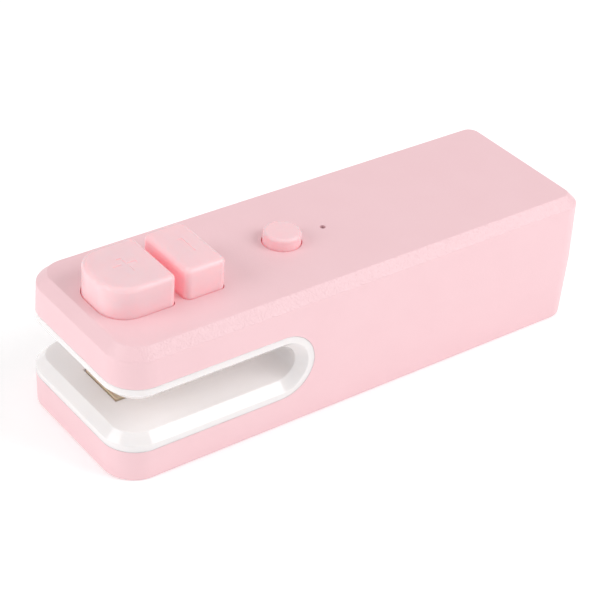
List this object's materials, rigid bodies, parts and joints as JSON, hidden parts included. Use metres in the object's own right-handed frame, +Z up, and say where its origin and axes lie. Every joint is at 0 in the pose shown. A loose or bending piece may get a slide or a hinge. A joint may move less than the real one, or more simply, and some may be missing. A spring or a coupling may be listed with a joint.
{
  "type": "handheld bag heat sealer",
  "caption": "Handheld bag heat sealer with a cutter: a slim casing with a C-shaped mouth, a sprung seal key, a sprung cut key and a power button.",
  "frame": {"origin": "centre of the casing's resting face, on the surface that the object stands on", "axes": "+X from the open mouth towards the charging socket, +Y across the casing, +Z up through the keys"},
  "size_m": [0.1099, 0.036, 0.0349],
  "materials": {
    "pink_abs": "fine-grained moulded pink ABS",
    "white_abs": "polished white ABS",
    "silicone": "cast beige silicone rubber",
    "phenolic": "moulded dark brown phenolic",
    "mica": "mica sheet",
    "ptfe_tape": "brown PTFE-coated glass tape",
    "nichrome": "rolled resistance strip",
    "brass": "stamped brass",
    "spring_steel": "drawn spring wire",
    "blade_steel": "ground blade steel",
    "screw_steel": "zinc-plated steel",
    "white_nylon": "moulded natural nylon",
    "board_green": "glass-epoxy board with green solder mask",
    "black_resin": "black moulded resin",
    "ceramic": "ceramic capacitor body",
    "led_resin": "clear epoxy over a small lamp",
    "clear_acrylic": "moulded clear acrylic",
    "socket_shell": "plated steel shell",
    "cell_sleeve": "shrink sleeve on the cell",
    "foam": "closed-cell foam",
    "nickel": "nickel strip",
    "lead_red": "PVC insulation, red",
    "lead_black": "PVC insulation, black"
  },
  "bodies": {
    "casing": {"upper_casing": "pink_abs", "lower_casing": "pink_abs", "mouth_liner": "white_abs", "sealing_pad": "silicone", "spring_terminals": "brass", "seal_springs": "spring_steel", "cut_springs": "spring_steel", "power_switch": "black_resin", "switch_legs": "nickel", "circuit_board": "board_green", "board_screws": "screw_steel", "indicator_led": "led_resin", "light_pipe": "clear_acrylic", "charging_socket": "socket_shell", "socket_tongue": "black_resin", "charge_controller": "black_resin", "power_transistor": "black_resin", "board_capacitors": "ceramic", "battery_cell": "cell_sleeve", "battery_pad": "foam", "battery_tabs": "nickel", "battery_lead_negative": "lead_black", "battery_lead_positive": "lead_red", "heater_lead_near": "lead_red", "heater_lead_far": "lead_black", "casing_screws": "screw_steel", "jaw_screws": "screw_steel"},
    "seal_head": {"seal_key": "pink_abs", "heater_carrier": "phenolic", "head_screws": "screw_steel", "insulation_sheet": "mica", "heating_element": "nichrome", "heater_tape": "ptfe_tape", "heater_straps": "brass"},
    "cut_head": {"cut_key": "pink_abs", "blade_holder": "white_nylon", "blade": "blade_steel", "holder_screws": "screw_steel"},
    "button": {"power_button": "pink_abs", "switch_plunger": "black_resin"}
  },
  "joints": [
    {"name": "seal_press", "type": "slide", "parent": "casing", "child": "seal_head", "axis": [0, 0, -1], "range_m": [0, 0.0048], "stiffness_N_per_m": 400, "springref_m": -0.002, "deforming": ["seal_springs"]},
    {"name": "cut_press", "type": "slide", "parent": "casing", "child": "cut_head", "axis": [0, 0, -1], "range_m": [0, 0.0048], "stiffness_N_per_m": 400, "springref_m": -0.002, "deforming": ["cut_springs"]},
    {"name": "button_press", "type": "slide", "parent": "casing", "child": "button", "axis": [0, 0, -1], "range_m": [0, 0.0006], "stiffness_N_per_m": 800, "springref_m": -0.0005}
  ]
}
